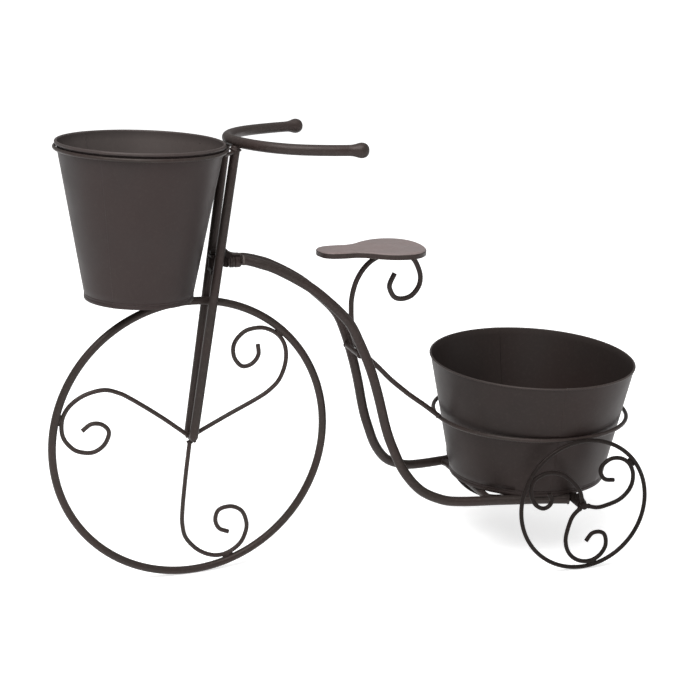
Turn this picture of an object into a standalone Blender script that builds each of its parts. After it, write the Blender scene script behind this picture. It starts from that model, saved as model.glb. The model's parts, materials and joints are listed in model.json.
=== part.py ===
# A planter shaped like an old tricycle: a bent steel frame on three wheels that carries two pots.
# X runs from the front wheel to the back, Y to the far side, Z up. Sizes are in metres.
import math

import bmesh
import bpy
import numpy as np
from mathutils import Matrix, Vector

# General sizes
gap = 0.0003                     # between pieces that touch
weld_gap = 0.0005                # between a scroll and the ring that it is welded to
running_clearance = 0.0004       # on the radius, between a pin and its hole
overrun = 0.002                  # how far a cutter passes what it cuts
weld_distance = 0.000001         # points of one mesh this close are one

# Front wheel, its rings measured to the centre of the tube
front_ring_radius = 0.160
front_ring_tube = 0.0045
front_hub_radius = 0.007
front_axle_radius = 0.003
axle_head_radius = 0.0042
axle_head_thickness = 0.0022
scroll_rod_radius = 0.0025
front_scroll_phase = math.radians(24.2)

# Rear wheels and their axle
rear_ring_radius = 0.0782
rear_ring_tube = 0.0025
rear_axle_x = 0.4428
rear_axle_turn = math.radians(-2.3)   # it stands a little out of square
rear_wheel_y = 0.1225
rear_axle_radius = 0.004
rear_axle_end = 0.0045           # how far the axle passes the wheel's middle plane
rear_scroll_phase = math.radians(2)
sleeve_radius = 0.006
sleeve_length = 0.024

# Fork, which leans back, and the small turn of the steering at rest
fork_rake = math.radians(7.8)
steer_turn = math.radians(3.9)
fork_leg_radius = 0.005
fork_half_at_hub = 0.0090
fork_half_at_bar = 0.0176
fork_foot = 0.0055               # below the axle

# Handlebar: a bow that opens to the rear, with a ball on each end
bar_below_rim = 0.0022           # from the level of the front pot's rim
bar_behind_fork = 0.0008         # its front, behind the fork's centre line
bar_length = 0.100
bar_half_width = 0.0945
bar_tube_radius = 0.006
ball_radius = 0.0084
ball_collar_length = 0.006
neck_share = 0.8

# Steering pivot
pivot_height = 0.3665
pivot_bolt_radius = 0.003
pivot_head_width = 0.010
pivot_head_thickness = 0.004
eye_radius = 0.0068
eye_height = 0.012
bridge_thickness = 0.003
bridge_depth = 0.014
stud_radius = 0.004
washer_radius = 0.0078
washer_thickness = 0.0018
washer_distance = 0.0135         # from the pivot to the washer
lock_nut_width = 0.013
lock_nut_thickness = 0.0065
boss_radius = 0.0072
boss_length = 0.008

# Frame rails
rail_radius = 0.0057
rail_level = 0.0791              # height of the level stretch
rail_end_y = 0.095               # sideways, at the rear axle
cross_bar_radius = 0.003
front_strut_x = 0.342
front_strut_radius = 0.0045
rear_strut_x = 0.366
rear_strut_radius = 0.003

# Seat
seat_rod_radius = 0.003
seat_rod_x = 0.1896              # the foremost point of its bend
seat_rod_length = 0.111
seat_crest_height = 0.3657
saddle_nose_x = 0.148
saddle_length = 0.1265
saddle_half_width = 0.0445
saddle_thickness = 0.0045
saddle_edge_round = 0.001

# Front pot and the hoop that it hangs in, which both lean back a little towards the fork
front_pot_lean = math.radians(1.6)
pot_above_wheel = 0.0053
hoop_to_fork = 0.0021
front_pot_height = 0.1678
front_pot_top_radius = 0.0888
front_pot_bottom_radius = 0.0580
front_bead_radius = 0.0026
front_hoop_wire = 0.002
front_hoop_radius = 0.0914
stay_wire = 0.002
stay_angle = math.radians(24)

# Rear pot, which stands on the rails, and the hoop round it. Its foot is round and its mouth oval
rear_pot_x = 0.4206
rear_pot_height = 0.1427
rear_pot_top_radius = 0.1189
rear_pot_top_half_width = 0.1305
rear_pot_bottom_radius = 0.0926
rear_bead_radius = 0.0023
rear_hoop_x = 0.4215
rear_hoop_height = 0.1622
rear_hoop_clearance = 0.0004     # from the pot at its widest
rear_hoop_wire = 0.0025

# Both pots
pot_steps = 52
pot_wall = 0.0012
seam_height = 0.006
seam_proud = 0.0011
floor_rise = 0.003
floor_thickness = 0.0015

# One scroll: each point is a share of the reach to the ring, and an angle from the spoke's root
front_scroll_shares = [
    (0.30, 0.0), (0.56, 0.0), (0.68, 0.9), (0.79, 3.6), (0.90, 9.8), (0.975, 16.5), (1.0, 23.0),
    (0.975, 30.2), (0.90, 35.9), (0.82, 38.5), (0.74, 38.9), (0.665, 34.9), (0.64, 27.0),
    (0.70, 22.6), (0.78, 23.0), (0.84, 27.0),
]
rear_scroll_shares = [
    (0.25, -16.0), (0.42, -6.8), (0.63, 1.5), (0.79, 10.0), (0.90, 18.5), (0.975, 28.5), (1.0, 39.0),
    (0.96, 49.0), (0.86, 58.0), (0.70, 63.5), (0.59, 60.0), (0.545, 47.0), (0.64, 35.0),
]
# Near rail: shares of its length in X, of its drop and of its spread
rail_shares = [
    (0.0, 1.007, 0.074), (0.013, 1.006, 0.076), (0.03, 1.001, 0.091), (0.055, 0.991, 0.119),
    (0.098, 0.970, 0.148), (0.174, 0.915, 0.209), (0.233, 0.858, 0.241), (0.3105, 0.757, 0.294),
    (0.3495, 0.6615, 0.312), (0.3815, 0.556, 0.350), (0.4055, 0.446, 0.382), (0.4295, 0.311, 0.421),
    (0.451, 0.226, 0.452), (0.482, 0.133, 0.512), (0.529, 0.056, 0.604), (0.589, 0.016, 0.675),
    (0.651, 0.002, 0.722), (0.785, 0.0, 0.81), (0.913, 0.0, 0.916), (1.0, 0.0, 1.0),
]
# Seat rod, from the rear hoop up to its curled end: shares of its reach in X and of its rise
seat_rod_shares = [
    (0.864, 0.077), (0.687, 0.149), (0.571, 0.2015), (0.455, 0.257), (0.317, 0.334), (0.197, 0.397),
    (0.079, 0.4644), (0.026, 0.549), (0.004, 0.633), (0.0, 0.697), (0.001, 0.74), (0.019, 0.797),
    (0.053, 0.854), (0.113, 0.91), (0.188, 0.953), (0.274, 0.981), (0.373, 0.997), (0.463, 1.0),
    (0.562, 0.993), (0.668, 0.964), (0.727, 0.914), (0.759, 0.855), (0.742, 0.797), (0.662, 0.746),
    (0.551, 0.731), (0.467, 0.748), (0.419, 0.7985), (0.426, 0.832), (0.47, 0.881),
]
cross_bar_share = 0.24          # where along the rod's points the cross bar meets it
# Half of the saddle's outline: shares of its length and of its half width
saddle_shares = [
    (0.0, 0.0), (0.02, 0.26), (0.09, 0.43), (0.20, 0.48), (0.31, 0.47), (0.40, 0.56), (0.51, 0.80),
    (0.64, 0.98), (0.78, 1.0), (0.90, 0.83), (0.975, 0.48), (1.0, 0.0),
]
# Half of the handlebar, from its front: shares of its length and of its half width
bar_shares = [
    (0.0, 0.0), (0.037, 0.225), (0.155, 0.476), (0.335, 0.69), (0.54, 0.836), (0.81, 0.948), (1.0, 1.0),
]

# Places that follow from the sizes
front_hub = Vector((0, 0, front_ring_radius + front_ring_tube))
rear_hub_height = rear_ring_radius + rear_ring_tube
fork_line = Vector((math.sin(fork_rake), 0, math.cos(fork_rake)))
pivot = front_hub + fork_line * ((pivot_height - front_hub.z) / fork_line.z)
washer_x = pivot.x + washer_distance
boss_x = washer_x + washer_thickness + lock_nut_thickness + 2 * gap
rail_start_x = boss_x + boss_length + gap
rail_length = rear_axle_x - sleeve_radius - rail_start_x
lean_line = Vector((math.sin(front_pot_lean), 0, math.cos(front_pot_lean)))
lean_across = Vector((lean_line.z, 0, -lean_line.x))
front_rim_height = 2 * front_hub.z + pot_above_wheel + lean_line.z * front_pot_height
fork_at_rim = front_hub + fork_line * ((front_rim_height - front_hub.z) / fork_line.z)
front_rim_x = fork_at_rim.x - fork_leg_radius - hoop_to_fork - front_hoop_wire - front_hoop_radius
bar_height = front_rim_height - bar_below_rim
bar_front_x = fork_at_rim.x - fork_line.x / fork_line.z * bar_below_rim + bar_behind_fork
front_rim = Vector((front_rim_x, 0, front_rim_height))
front_pot_place = front_rim - lean_line * front_pot_height
rear_pot_foot = max(rail_level + rail_radius, rear_hub_height + rear_axle_radius) + gap
rear_hoop_share = (rear_hoop_height - rear_pot_foot) / rear_pot_height
rear_pot_widest = max(rear_pot_top_radius, rear_pot_top_half_width)
rear_pot_at_hoop = rear_pot_bottom_radius + rear_hoop_share * (rear_pot_widest - rear_pot_bottom_radius)
rear_hoop_radius = rear_pot_at_hoop + pot_wall / 2 + rear_hoop_clearance + rear_hoop_wire
front_reach = front_ring_radius * math.cos(steer_turn) + front_ring_tube
rear_reach = rear_pot_x + rear_pot_top_radius + rear_bead_radius
middle_x = (rear_reach - front_reach) / 2


def clear_scene():
    for old in list(bpy.data.objects):
        bpy.data.objects.remove(old, do_unlink=True)


def make_collection(name):
    made = bpy.data.collections.new(name)
    bpy.context.scene.collection.children.link(made)
    return made


def make_material(name, color, roughness, metallic):
    made = bpy.data.materials.new(name)
    made.use_nodes = True
    shader = made.node_tree.nodes["Principled BSDF"]
    shader.inputs["Base Color"].default_value = (*color, 1)
    shader.inputs["Roughness"].default_value = roughness
    shader.inputs["Metallic"].default_value = metallic
    return made


clear_scene()
parts = make_collection("tricycle_planter")
cutters = make_collection("cutters")
frame_paint = make_material("frame_paint", (0.052, 0.043, 0.041), 0.42, 0.3)
wheel_paint = make_material("wheel_paint", (0.050, 0.042, 0.040), 0.45, 0.3)
saddle_paint = make_material("saddle_paint", (0.075, 0.062, 0.058), 0.5, 0.2)
pot_paint = make_material("pot_paint", (0.056, 0.047, 0.045), 0.5, 0.2)
bolt_steel = make_material("bolt_steel", (0.090, 0.082, 0.078), 0.4, 0.7)


def keep(item, name, material, group=None):
    """Names an object, gives it its material and moves it to its collection."""
    item.name = name
    item.data.name = name
    if material:
        item.data.materials.clear()
        item.data.materials.append(material)
    for old in list(item.users_collection):
        old.objects.unlink(item)
    (group or parts).objects.link(item)
    return item


def shade(item, angle=40):
    item.data.shade_smooth()
    item.data.set_sharp_from_angle(angle=math.radians(angle))
    return item


def smooth_path(points, per_span):
    """Points along a Catmull-Rom curve through the given points."""
    given = np.array([tuple(p) for p in points], float)
    ends = (2 * given[0] - given[1], 2 * given[-1] - given[-2])
    held = np.vstack([ends[0], given, ends[1]])
    path = []
    for i in range(1, len(held) - 2):
        before, start, end, after = held[i - 1:i + 3]
        for t in np.arange(per_span) / per_span:
            path.append(0.5 * (2 * start + (end - before) * t
                               + (2 * before - 5 * start + 4 * end - after) * t ** 2
                               + (3 * start - before - 3 * end + after) * t ** 3))
    return [Vector(p) for p in path] + [Vector(given[-1])]


def make_rod(name, points, radius, material, resolution=2, cyclic=False):
    """A round rod or tube along a path."""
    data = bpy.data.curves.new(name, "CURVE")
    data.dimensions = "3D"
    data.bevel_depth = radius
    data.bevel_resolution = resolution
    data.use_fill_caps = not cyclic
    spline = data.splines.new("POLY")
    spline.points.add(len(points) - 1)
    for point, place in zip(spline.points, points):
        point.co = (*place, 1)
    spline.use_cyclic_u = cyclic
    spline.use_smooth = True
    return keep(bpy.data.objects.new(name, data), name, material)


def make_bar(name, start, end, radius, material, sides=16, group=None):
    """A straight round bar, or a hexagonal one with six sides, between two points."""
    start, end = Vector(start), Vector(end)
    bpy.ops.mesh.primitive_cylinder_add(vertices=sides, radius=radius, depth=(end - start).length)
    bar = bpy.context.object
    bar.location = (start + end) / 2
    bar.rotation_euler = (end - start).to_track_quat("Z", "Y").to_euler()
    return shade(keep(bar, name, material, group))


def make_ring(name, place, radius, tube, material, upright, steps, sides):
    bpy.ops.mesh.primitive_torus_add(major_radius=radius, minor_radius=tube,
                                     major_segments=steps, minor_segments=sides)
    ring = bpy.context.object
    ring.location = place
    if upright:
        ring.rotation_euler = (math.radians(90), 0, 0)
    return shade(keep(ring, name, material), 80)


def make_turned(name, profile, material, steps):
    """A profile of (radius, height) points, turned about Z. It runs down its outer side."""
    mesh = bpy.data.meshes.new(name)
    mesh.from_pydata([(radius, 0, height) for radius, height in profile],
                     [(i, i + 1) for i in range(len(profile) - 1)], [])
    turned = keep(bpy.data.objects.new(name, mesh), name, material)
    screw = turned.modifiers.new("turn", "SCREW")
    screw.steps = screw.render_steps = steps
    screw.use_merge_vertices = True
    screw.merge_threshold = 0.00001
    screw.use_smooth_shade = True
    return turned


def combine(item, other, operation):
    other.hide_render = True
    other.display_type = "WIRE"
    step = item.modifiers.new(other.name, "BOOLEAN")
    step.solver = "EXACT"
    step.operation = operation
    step.object = other
    return item


def join(item, other):
    return combine(item, other, "UNION")


def as_mesh(item, name):
    """A closed mesh of a curve, to cut with."""
    bpy.context.view_layer.update()
    graph = bpy.context.evaluated_depsgraph_get()
    data = bpy.data.meshes.new_from_object(item.evaluated_get(graph))
    shape = bmesh.new()
    shape.from_mesh(data)
    bmesh.ops.remove_doubles(shape, verts=shape.verts, dist=weld_distance)
    shape.to_mesh(data)
    shape.free()
    return keep(bpy.data.objects.new(name, data), name, None, cutters)


def bore(item, start, end, radius, sides=24):
    """Cuts a round hole from one point to another, and a little past both."""
    start, end = Vector(start), Vector(end)
    past = (end - start).normalized() * overrun
    hole = make_bar(item.name + "_hole", start - past, end + past, radius, None, sides, cutters)
    return combine(item, hole, "DIFFERENCE")


def make_empty(name, place, parent=None, parent_place=Vector()):
    made = bpy.data.objects.new(name, None)
    parts.objects.link(made)
    made.location = place
    if parent:
        made.parent = parent
        made.matrix_parent_inverse = Matrix.Translation(-parent_place)
    return made


def hang(pieces, empty, place):
    """Parents pieces and what cuts or joins them to an empty, which carries them along."""
    for piece in pieces:
        others = [step.object for step in piece.modifiers if step.type == "BOOLEAN"]
        for item in [piece, *others]:
            item.parent = empty
            item.matrix_parent_inverse = Matrix.Translation(-place)


def make_scrolls(name, hub, shares, phase, inner, reach):
    """Three rods that run out from the hub and curl back from the ring."""
    made = []
    for count in range(3):
        turn = phase + math.radians(120 * count)
        angles = [turn + math.radians(degrees) for _, degrees in shares]
        radii = [share * reach for share, _ in shares]
        flat = [(inner, angles[0])] + list(zip(radii, angles))
        path = [hub + Vector((r * math.cos(a), 0, r * math.sin(a))) for r, a in flat]
        made.append(make_rod(f"{name}_{count + 1}", smooth_path(path, 2), scroll_rod_radius, wheel_paint))
    return made


def fork_half(height):
    """Half the spacing of the fork's legs at a height."""
    share = (height - front_hub.z) / (bar_height - front_hub.z)
    return fork_half_at_hub + (fork_half_at_bar - fork_half_at_hub) * share


def fork_point(height, side):
    """A point on the centre line of a fork leg."""
    along = front_hub + fork_line * ((height - front_hub.z) / fork_line.z)
    return Vector((along.x, side * fork_half(height), height))


def make_front_wheel():
    hub_half = fork_half_at_hub - fork_leg_radius - gap
    side = Vector((0, hub_half, 0))
    ring = make_ring("front_wheel_ring", front_hub, front_ring_radius, front_ring_tube,
                     wheel_paint, True, 64, 10)
    hub = make_bar("front_wheel_hub", front_hub - side, front_hub + side, front_hub_radius, wheel_paint, 24)
    bore(hub, front_hub - side, front_hub + side, front_axle_radius + running_clearance)
    reach = front_ring_radius - front_ring_tube - scroll_rod_radius - weld_gap
    scrolls = make_scrolls("front_wheel_scroll", front_hub, front_scroll_shares, front_scroll_phase,
                           front_hub_radius + gap, reach)
    return [ring, hub, *scrolls]


def make_front_axle():
    """The pin through both fork legs, headed on the near side, with a cap nut on the far one."""
    face = fork_half_at_hub + fork_leg_radius + gap
    near, far = front_hub - Vector((0, face, 0)), front_hub + Vector((0, face, 0))
    head_end = near - Vector((0, axle_head_thickness, 0))
    profile = [(0, axle_head_thickness + 2 * face), (front_axle_radius, axle_head_thickness + 2 * face),
               (front_axle_radius, axle_head_thickness), (axle_head_radius, axle_head_thickness),
               (axle_head_radius * 0.92, axle_head_thickness * 0.35), (axle_head_radius * 0.6, 0), (0, 0)]
    axle = make_turned("front_axle", profile, bolt_steel, 20)
    axle.location = head_end
    axle.rotation_euler = (math.radians(-90), 0, 0)
    nut = make_bar("front_axle_cap", far + Vector((0, gap, 0)),
                   far + Vector((0, axle_head_thickness, 0)), axle_head_radius, bolt_steel, 20)
    return [axle, nut]


def bar_path():
    half = [Vector((bar_front_x + x * bar_length, -y * bar_half_width, bar_height)) for x, y in bar_shares]
    other = [Vector((p.x, -p.y, p.z)) for p in half[1:]]
    return smooth_path([*reversed(half), *other], 3)


def make_fork():
    """Two legs, drilled for the axle pin and hollowed at the top to sit under the handlebar."""
    legs = []
    hole = front_axle_radius + gap
    rod = make_rod("bar_saddle_path", bar_path(), bar_tube_radius + gap, None, 3)
    for side, name in ((-1, "fork_leg_near"), (1, "fork_leg_far")):
        foot = fork_point(front_hub.z - fork_foot * fork_line.z, side)
        leg = make_bar(name, foot, fork_point(bar_height, side), fork_leg_radius, frame_paint, 16)
        across = Vector((0, fork_leg_radius, 0))
        centre = front_hub + Vector((0, side * fork_half_at_hub, 0))
        bore(leg, centre - across, centre + across, hole, 20)
        combine(leg, as_mesh(rod, name + "_seat"), "DIFFERENCE")
        legs.append(leg)
    bpy.data.objects.remove(rod, do_unlink=True)
    return legs


def make_handlebar():
    path = bar_path()
    bar = make_rod("handlebar", path, bar_tube_radius, frame_paint, 3)
    tips = []
    ball_place = ball_collar_length + math.sqrt(ball_radius ** 2 - bar_tube_radius ** 2) * neck_share
    angles = np.radians(np.arange(0, 121, 15))
    ball = [(ball_radius * math.sin(a), ball_place + ball_radius * math.cos(a)) for a in angles]
    profile = [*ball, (bar_tube_radius, ball_collar_length * neck_share), (bar_tube_radius, 0), (0, 0)]
    ends = ((path[0], path[1], "handlebar_ball_near"), (path[-1], path[-2], "handlebar_ball_far"))
    for end, before, name in ends:
        along = (end - before).normalized()
        tip = make_turned(name, profile, frame_paint, 20)
        tip.location = end + along * gap
        tip.rotation_euler = along.to_track_quat("Z", "Y").to_euler()
        tips.append(tip)
    return [bar, *tips]


def make_pivot():
    """The upright bolt that the front turns on, through two bridges across the fork."""
    def at(along):
        return pivot + Vector((0, 0, along))
    half_eye = eye_height / 2
    plates = []
    for sign, name in ((1, "fork_bridge_upper"), (-1, "fork_bridge_lower")):
        middle = at(sign * (half_eye + gap + bridge_thickness / 2))
        half_width = fork_half(middle.z) - fork_leg_radius - 2 * gap
        bpy.ops.mesh.primitive_cube_add(size=1)
        plate = bpy.context.object
        plate.scale = (bridge_depth, 2 * half_width, bridge_thickness)
        bpy.ops.object.transform_apply(location=False, rotation=False, scale=True)
        plate.location = middle
        keep(plate, name, frame_paint)
        half = Vector((0, 0, bridge_thickness))
        plates.append(bore(plate, middle - half, middle + half, pivot_bolt_radius + running_clearance))
    top = half_eye + gap + bridge_thickness + gap
    head = make_bar("pivot_bolt", at(top), at(top + pivot_head_thickness), pivot_head_width / math.sqrt(3),
                    bolt_steel, 6)
    shank = make_bar("pivot_bolt_shank", at(-top - pivot_head_thickness), at(top + pivot_head_thickness / 2),
                     pivot_bolt_radius, None, 20, cutters)
    join(head, shank)
    nut_top, nut_foot = at(-top), at(-top - pivot_head_thickness)
    nut = make_bar("pivot_nut", nut_foot, nut_top, pivot_head_width / math.sqrt(3), bolt_steel, 6)
    bore(nut, nut_foot, nut_top, pivot_bolt_radius + running_clearance)
    return plates, [head, nut]


def make_steering_stud():
    """The eye that the pivot bolt passes, with the stud that the frame is bolted to."""
    half_eye = Vector((0, 0, eye_height / 2))
    eye = make_bar("steering_eye", pivot - half_eye, pivot + half_eye, eye_radius, frame_paint, 24)
    stud_end = Vector((boss_x + boss_length - gap, 0, pivot.z))
    join(eye, make_bar("steering_stud", pivot, stud_end, stud_radius, None, 20, cutters))
    bore(eye, pivot - half_eye, pivot + half_eye, pivot_bolt_radius + running_clearance)
    pieces = [eye]
    nut_x = washer_x + washer_thickness + gap
    for name, start_x, length, radius, sides, material in (
            ("stud_washer", washer_x, washer_thickness, washer_radius, 24, bolt_steel),
            ("stud_lock_nut", nut_x, lock_nut_thickness, lock_nut_width / math.sqrt(3), 6, bolt_steel),
            ("frame_boss", boss_x, boss_length, boss_radius, 24, frame_paint)):
        start = Vector((start_x, 0, pivot.z))
        end = start + Vector((length, 0, 0))
        piece = make_bar(name, start, end, radius, material, sides)
        pieces.append(bore(piece, start, end, stud_radius + gap))
    return pieces


def rail_path(side):
    """The same bends on both sides; each rail then runs on to its own axle sleeve."""
    drop = pivot.z - rail_level
    places = [Vector((rail_start_x + x * rail_length, side * y * rail_end_y, rail_level + z * drop))
              for x, z, y in rail_shares]
    axle_here = rear_axle_x - side * rail_end_y * math.tan(rear_axle_turn)
    places[-1].x = axle_here - sleeve_radius - 2 * gap
    return smooth_path(places, 2)


def rail_half_at(x):
    """How far to the side the rails' centre lines run at a place along them."""
    path = rail_path(1)
    return float(np.interp(x, [p.x for p in path], [p.y for p in path]))


def make_cross_piece(name, x, z, radius):
    """A rod between the two rails, which spread towards the back."""
    half = rail_half_at(x - radius) - rail_radius - 2 * gap
    return make_bar(name, (x, -half, z), (x, half, z), radius, frame_paint, 12)


def make_rails():
    return [make_rod(name, rail_path(side), rail_radius, frame_paint, 3)
            for side, name in ((-1, "rail_near"), (1, "rail_far"))]


def seat_rod_path():
    rise = seat_crest_height - rear_hoop_height
    hoop_front = Vector((rear_hoop_x - rear_hoop_radius, 0, rear_hoop_height))
    places = [Vector((seat_rod_x + x * seat_rod_length, 0, rear_hoop_height + z * rise))
              for x, z in seat_rod_shares]
    down = (hoop_front - places[0]).normalized()
    return smooth_path([hoop_front - down * (rear_hoop_wire + gap), *places], 2)


def make_seat():
    path = seat_rod_path()
    rod = make_rod("seat_rod", path, seat_rod_radius, frame_paint)
    at = int(cross_bar_share * len(path))
    along = (path[at + 1] - path[at - 1]).normalized()
    across = Vector((-along.z, 0, along.x))
    if across.x > 0:
        across = -across
    centre = path[at] + across * (seat_rod_radius + cross_bar_radius + gap)
    bar = make_cross_piece("seat_cross_bar", centre.x, centre.z, cross_bar_radius)
    outline = [Vector((x, y, 0)) for x, y in saddle_shares]
    outline += [Vector((x, -y, 0)) for x, y in reversed(saddle_shares[1:-1])]
    around = smooth_path([*outline[-2:], *outline, *outline[:2]], 3)[6:-6]
    data = bpy.data.curves.new("saddle", "CURVE")
    data.dimensions = "2D"
    data.fill_mode = "BOTH"
    data.extrude = saddle_thickness / 2 - saddle_edge_round
    data.bevel_depth = saddle_edge_round
    data.bevel_resolution = 1
    spline = data.splines.new("POLY")
    spline.use_cyclic_u = True
    spline.points.add(len(around) - 1)
    for point, place in zip(spline.points, around):
        point.co = (place.x * saddle_length, place.y * saddle_half_width, 0, 1)
    saddle = keep(bpy.data.objects.new("saddle", data), "saddle", saddle_paint)
    saddle.location = (saddle_nose_x, 0, seat_crest_height + seat_rod_radius + gap + saddle_thickness / 2)
    return [rod, bar, saddle]


def make_rear_wheels():
    hub_height = rear_hub_height
    end = rear_wheel_y + rear_axle_end
    axle = make_bar("rear_axle", (rear_axle_x, -end, hub_height), (rear_axle_x, end, hub_height),
                    rear_axle_radius, wheel_paint, 20)
    reach = rear_ring_radius - rear_ring_tube - scroll_rod_radius - weld_gap
    pieces = [axle]
    for side, name in ((-1, "rear_wheel_near"), (1, "rear_wheel_far")):
        hub = Vector((rear_axle_x, side * rear_wheel_y, hub_height))
        pieces.append(make_ring(name + "_ring", hub, rear_ring_radius, rear_ring_tube,
                                wheel_paint, True, 44, 8))
        pieces += make_scrolls(name + "_scroll", hub, rear_scroll_shares, rear_scroll_phase,
                               rear_axle_radius + gap, reach)
    return pieces


def make_sleeves():
    """Tubes on the ends of the rails, which the rear axle turns in."""
    made = []
    outer = rear_wheel_y - scroll_rod_radius - 2 * gap
    for side, name in ((-1, "axle_sleeve_near"), (1, "axle_sleeve_far")):
        start = Vector((rear_axle_x, side * (outer - sleeve_length), rear_hub_height))
        end = Vector((rear_axle_x, side * outer, rear_hub_height))
        sleeve = make_bar(name, start, end, sleeve_radius, frame_paint, 24)
        made.append(bore(sleeve, start, end, rear_axle_radius + running_clearance))
    return made


def make_pot(name, place, top, top_half_width, bottom, height, bead):
    """A tapered pot: one sheet wall with a rolled rim and a crimped foot seam, and its floor."""
    half = pot_wall / 2
    angles = np.radians(np.arange(225, -46, -45))
    # Each point: its share of the way up the wall, its distance out from the wall's middle, its height
    profile = [(1, bead * math.cos(a), height + bead * math.sin(a)) for a in angles]
    seam_share = seam_height / height
    profile += [(1, half, height - bead), (seam_share, half, seam_height),
                (seam_share, half + seam_proud, seam_height - seam_proud), (0, half + seam_proud, seam_proud),
                (0, half, 0), (0, -half, 0), (1, -half, height - bead)]
    turns = np.linspace(0, 2 * math.pi, pot_steps, endpoint=False)
    rim = top * top_half_width / np.hypot(top_half_width * np.cos(turns), top * np.sin(turns))
    points = []
    for share, out, level in profile:
        radius = bottom + (rim - bottom) * share + out
        points += list(zip(radius * np.cos(turns), radius * np.sin(turns), np.full(pot_steps, level)))
    rows = len(profile)
    faces = []
    for row in range(rows):
        for step in range(pot_steps):
            after, below = (step + 1) % pot_steps, (row + 1) % rows
            faces.append((row * pot_steps + step, below * pot_steps + step,
                          below * pot_steps + after, row * pot_steps + after))
    mesh = bpy.data.meshes.new(name)
    mesh.from_pydata(points, [], faces)
    wall = shade(keep(bpy.data.objects.new(name + "_wall", mesh), name + "_wall", pot_paint))
    wall.location = place
    floor_radius = bottom - half - gap
    foot = place + Vector((0, 0, floor_rise))
    floor = make_bar(name + "_floor", foot, foot + Vector((0, 0, floor_thickness)), floor_radius,
                     pot_paint, 48)
    return [wall, floor]


def make_front_hoop():
    """The hoop under the front pot's bead, and the two stays that carry it from the fork."""
    out = front_hoop_radius - front_pot_top_radius
    drop = math.sqrt((front_bead_radius + front_hoop_wire + gap) ** 2 - out ** 2)
    centre = front_rim - lean_line * drop
    hoop = make_ring("front_hoop", centre, front_hoop_radius, front_hoop_wire, frame_paint, False, 48, 8)
    hoop.rotation_euler.y = front_pot_lean
    pieces = [hoop]
    for side, name in ((-1, "hoop_stay_near"), (1, "hoop_stay_far")):
        beside = side * front_hoop_radius * math.sin(stay_angle)
        back = lean_across * front_hoop_radius * math.cos(stay_angle)
        under = centre + back + Vector((0, beside, 0)) - lean_line * (front_hoop_wire + stay_wire + gap)
        leg = fork_point(under.z, side)
        toward = (under - leg).normalized()
        start = leg + toward * (fork_leg_radius + gap)
        pieces.append(make_bar(name, start, under + toward * stay_wire, stay_wire, frame_paint, 10))
    return pieces


def make_rear_hoop():
    return make_ring("rear_hoop", (rear_hoop_x, 0, rear_hoop_height), rear_hoop_radius, rear_hoop_wire,
                     frame_paint, False, 48, 8)


def build():
    planter = make_empty("planter", (-middle_x, 0, 0))
    steering = make_empty("steering_axis", pivot, planter)
    steering.rotation_euler.z = steer_turn
    front_wheel = make_empty("front_wheel_axis", front_hub, steering, pivot)
    rear_hub = Vector((rear_axle_x, 0, rear_hub_height))
    rear_axis = make_empty("rear_axle_axis", rear_hub, planter)
    sleeve_axis = make_empty("axle_sleeve_axis", rear_hub, planter)
    rear_axis.rotation_euler.z = sleeve_axis.rotation_euler.z = rear_axle_turn
    rear_pot_place = Vector((rear_pot_x, 0, rear_pot_foot))
    front_pot_empty = make_empty("front_pot_lift", front_pot_place, steering, pivot)
    rear_pot_empty = make_empty("rear_pot_lift", rear_pot_place, planter)

    plates, bolts = make_pivot()
    hang(make_fork() + make_handlebar() + make_front_axle() + plates + bolts + make_front_hoop(),
         steering, pivot)
    hang(make_front_wheel(), front_wheel, front_hub)
    hang(make_rear_wheels(), rear_axis, rear_hub)
    front_pot_empty.rotation_euler.y = front_pot_lean
    hang(make_pot("front_pot", front_pot_place, front_pot_top_radius, front_pot_top_radius,
                  front_pot_bottom_radius, front_pot_height, front_bead_radius),
         front_pot_empty, front_pot_place)
    hang(make_pot("rear_pot", rear_pot_place, rear_pot_top_radius, rear_pot_top_half_width,
                  rear_pot_bottom_radius, rear_pot_height, rear_bead_radius), rear_pot_empty, rear_pot_place)
    hang(make_sleeves(), sleeve_axis, rear_hub)
    frame = make_rails() + make_steering_stud() + make_seat() + [make_rear_hoop()]
    frame.append(make_cross_piece("front_strut", front_strut_x, rail_level, front_strut_radius))
    frame.append(make_cross_piece("rear_strut", rear_strut_x, rail_level, rear_strut_radius))
    hang(frame, planter, Vector())


build()
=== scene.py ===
# Tricycle planter: the painted surfaces, welds and rolled rims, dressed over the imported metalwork
import json
import math

import bpy
import numpy as np
from mathutils import Matrix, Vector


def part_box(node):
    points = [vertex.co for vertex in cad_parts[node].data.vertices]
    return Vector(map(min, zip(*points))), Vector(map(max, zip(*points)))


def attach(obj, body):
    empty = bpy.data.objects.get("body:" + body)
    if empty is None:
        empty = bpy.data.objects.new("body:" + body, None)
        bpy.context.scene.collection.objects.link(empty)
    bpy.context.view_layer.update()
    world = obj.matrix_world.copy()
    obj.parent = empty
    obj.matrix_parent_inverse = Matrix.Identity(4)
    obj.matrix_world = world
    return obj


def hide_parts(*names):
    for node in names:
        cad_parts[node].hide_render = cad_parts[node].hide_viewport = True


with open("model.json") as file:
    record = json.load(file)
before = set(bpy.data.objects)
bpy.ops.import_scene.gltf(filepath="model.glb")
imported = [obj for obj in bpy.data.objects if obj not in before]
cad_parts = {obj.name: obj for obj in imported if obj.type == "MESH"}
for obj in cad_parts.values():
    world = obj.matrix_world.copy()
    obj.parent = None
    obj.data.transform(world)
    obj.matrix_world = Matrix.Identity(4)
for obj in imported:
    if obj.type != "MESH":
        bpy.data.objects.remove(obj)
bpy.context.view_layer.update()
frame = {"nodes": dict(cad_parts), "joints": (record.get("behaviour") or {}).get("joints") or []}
joints = {joint["name"]: joint for joint in frame["joints"]}
lengthways, sideways, up = np.eye(3)
bothSides = (("near", -1), ("far", 1))
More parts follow.
